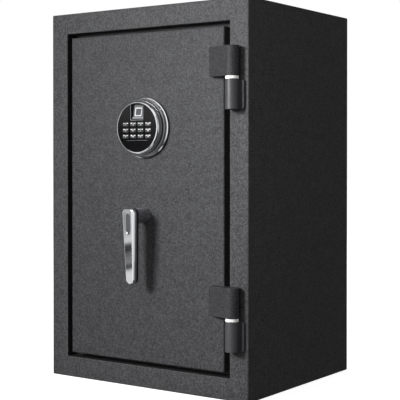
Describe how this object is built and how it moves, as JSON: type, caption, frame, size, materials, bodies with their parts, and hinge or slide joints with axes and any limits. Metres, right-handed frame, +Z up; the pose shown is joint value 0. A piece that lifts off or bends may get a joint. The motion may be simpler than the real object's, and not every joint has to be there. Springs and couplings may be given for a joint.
{
  "type": "biometric safe",
  "caption": "Free-standing steel safe with a hinged door, fingerprint and keypad lock, drop handle, sliding bolts and an inner shelf.",
  "frame": {"origin": "centre of the cabinet's underside, at the middle of the four anchor holes", "axes": "+Z up, -Y out of the door's face, +X to the hinge side as seen from the front"},
  "size_m": [0.406, 0.3734, 0.626],
  "materials": {
    "powder_coat": "charcoal fine-textured powder coat",
    "frame_paint": "charcoal powder coat, smoother",
    "fire_fill": "cast fire-resisting filling, unseen",
    "grey_paint": "grey powder coat",
    "zinc_steel": "zinc-plated sheet steel",
    "seal_rubber": "dull black strip",
    "carpet": "needle-felt carpet",
    "bright_steel": "turned and polished steel",
    "black_steel": "blackened steel",
    "bronze": "satin brass",
    "chrome": "bright chrome plate",
    "satin_chrome": "satin chrome plate",
    "face_gloss": "gloss black moulding",
    "key_plastic": "satin black key with white print",
    "sensor_glass": "dark smooth window",
    "board_green": "green circuit board, unseen",
    "die_cast": "grey die casting",
    "cable_black": "black cable jacket",
    "black_plastic": "black moulded plastic",
    "cell_wrap": "plain cell wrap",
    "white_nylon": "white nylon washer"
  },
  "bodies": {
    "cabinet": {"outer_shell": "powder_coat", "door_frame": "frame_paint", "back_panel": "powder_coat", "wall_fill": "fire_fill", "inner_liner": "grey_paint", "anchor_sleeves": "zinc_steel", "fire_seal": "seal_rubber", "shelf": "grey_paint", "shelf_rails": "grey_paint", "floor_mat": "carpet", "upper_hinge_base": "powder_coat", "lower_hinge_base": "powder_coat", "hinge_pins": "bright_steel", "hinge_washers": "white_nylon"},
    "door": {"door_skin": "powder_coat", "door_fill": "fire_fill", "door_pan": "frame_paint", "bolt_plate": "zinc_steel", "door_cover": "frame_paint", "cover_screws": "black_steel", "upper_hinge_leaf": "powder_coat", "lower_hinge_leaf": "powder_coat", "fixed_bolts": "bright_steel", "bolt_bushes": "bronze", "carriage_studs": "zinc_steel", "lock_base": "satin_chrome", "lock_housing": "satin_chrome", "lock_bezel": "chrome", "lock_face": "face_gloss", "sensor_frame": "chrome", "sensor_window": "sensor_glass", "keypad_board": "board_green", "keypad_mat": "seal_rubber", "lock_case": "die_cast", "lock_cable": "cable_black", "battery_box": "black_plastic", "battery_cells": "cell_wrap"},
    "handle": {"handle_cap": "chrome", "handle_back": "black_plastic", "handle_neck": "powder_coat", "handle_spindle": "bright_steel", "cam_disc": "bronze", "cam_screw": "black_steel"},
    "carriage": {"carriage_plate": "zinc_steel", "live_bolts": "bright_steel", "drive_pin": "bright_steel"},
    "lock_bolt": {"swing_bolt": "bronze"},
    "battery_lid": {"battery_cover": "black_plastic"},
    "key_1_button": {"key_1": "key_plastic"},
    "key_2_button": {"key_2": "key_plastic"},
    "key_3_button": {"key_3": "key_plastic"},
    "key_4_button": {"key_4": "key_plastic"},
    "key_5_button": {"key_5": "key_plastic"},
    "key_6_button": {"key_6": "key_plastic"},
    "key_7_button": {"key_7": "key_plastic"},
    "key_8_button": {"key_8": "key_plastic"},
    "key_9_button": {"key_9": "key_plastic"},
    "key_star_button": {"key_star": "key_plastic"},
    "key_0_button": {"key_0": "key_plastic"},
    "key_hash_button": {"key_hash": "key_plastic"}
  },
  "joints": [
    {"name": "door_swing", "type": "hinge", "parent": "cabinet", "child": "door", "pos_m": [0.18025, -0.1755, 0.313], "axis": [0, 0, 1], "range_deg": [0, 175]},
    {"name": "handle_turn", "type": "hinge", "parent": "door", "child": "handle", "pos_m": [0.002, -0.164, 0.284], "axis": [0, 1, 0], "range_deg": [0, 90]},
    {"name": "bolt_throw", "type": "slide", "parent": "door", "child": "carriage", "axis": [-1, 0, 0], "range_m": [0, 0.02]},
    {"name": "lock_bolt_swing", "type": "hinge", "parent": "door", "child": "lock_bolt", "pos_m": [-0.015, -0.1135, 0.37505], "axis": [0, 1, 0], "range_deg": [0, 47.75]},
    {"name": "battery_lid_slide", "type": "slide", "parent": "door", "child": "battery_lid", "axis": [0, 0, 1], "range_m": [0, 0.058]},
    {"name": "key_1_press", "type": "slide", "parent": "door", "child": "key_1_button", "axis": [0, 1, 0], "range_m": [0, 0.0008], "stiffness_N_per_m": 600},
    {"name": "key_2_press", "type": "slide", "parent": "door", "child": "key_2_button", "axis": [0, 1, 0], "range_m": [0, 0.0008], "stiffness_N_per_m": 600},
    {"name": "key_3_press", "type": "slide", "parent": "door", "child": "key_3_button", "axis": [0, 1, 0], "range_m": [0, 0.0008], "stiffness_N_per_m": 600},
    {"name": "key_4_press", "type": "slide", "parent": "door", "child": "key_4_button", "axis": [0, 1, 0], "range_m": [0, 0.0008], "stiffness_N_per_m": 600},
    {"name": "key_5_press", "type": "slide", "parent": "door", "child": "key_5_button", "axis": [0, 1, 0], "range_m": [0, 0.0008], "stiffness_N_per_m": 600},
    {"name": "key_6_press", "type": "slide", "parent": "door", "child": "key_6_button", "axis": [0, 1, 0], "range_m": [0, 0.0008], "stiffness_N_per_m": 600},
    {"name": "key_7_press", "type": "slide", "parent": "door", "child": "key_7_button", "axis": [0, 1, 0], "range_m": [0, 0.0008], "stiffness_N_per_m": 600},
    {"name": "key_8_press", "type": "slide", "parent": "door", "child": "key_8_button", "axis": [0, 1, 0], "range_m": [0, 0.0008], "stiffness_N_per_m": 600},
    {"name": "key_9_press", "type": "slide", "parent": "door", "child": "key_9_button", "axis": [0, 1, 0], "range_m": [0, 0.0008], "stiffness_N_per_m": 600},
    {"name": "key_star_press", "type": "slide", "parent": "door", "child": "key_star_button", "axis": [0, 1, 0], "range_m": [0, 0.0008], "stiffness_N_per_m": 600},
    {"name": "key_0_press", "type": "slide", "parent": "door", "child": "key_0_button", "axis": [0, 1, 0], "range_m": [0, 0.0008], "stiffness_N_per_m": 600},
    {"name": "key_hash_press", "type": "slide", "parent": "door", "child": "key_hash_button", "axis": [0, 1, 0], "range_m": [0, 0.0008], "stiffness_N_per_m": 600}
  ],
  "couplings": [
    {"joint": "bolt_throw", "follows": "handle_turn", "m_per_rad": 0.012732},
    {"joint": "lock_bolt_swing", "follows": "handle_turn", "ratio": 0.5305}
  ]
}
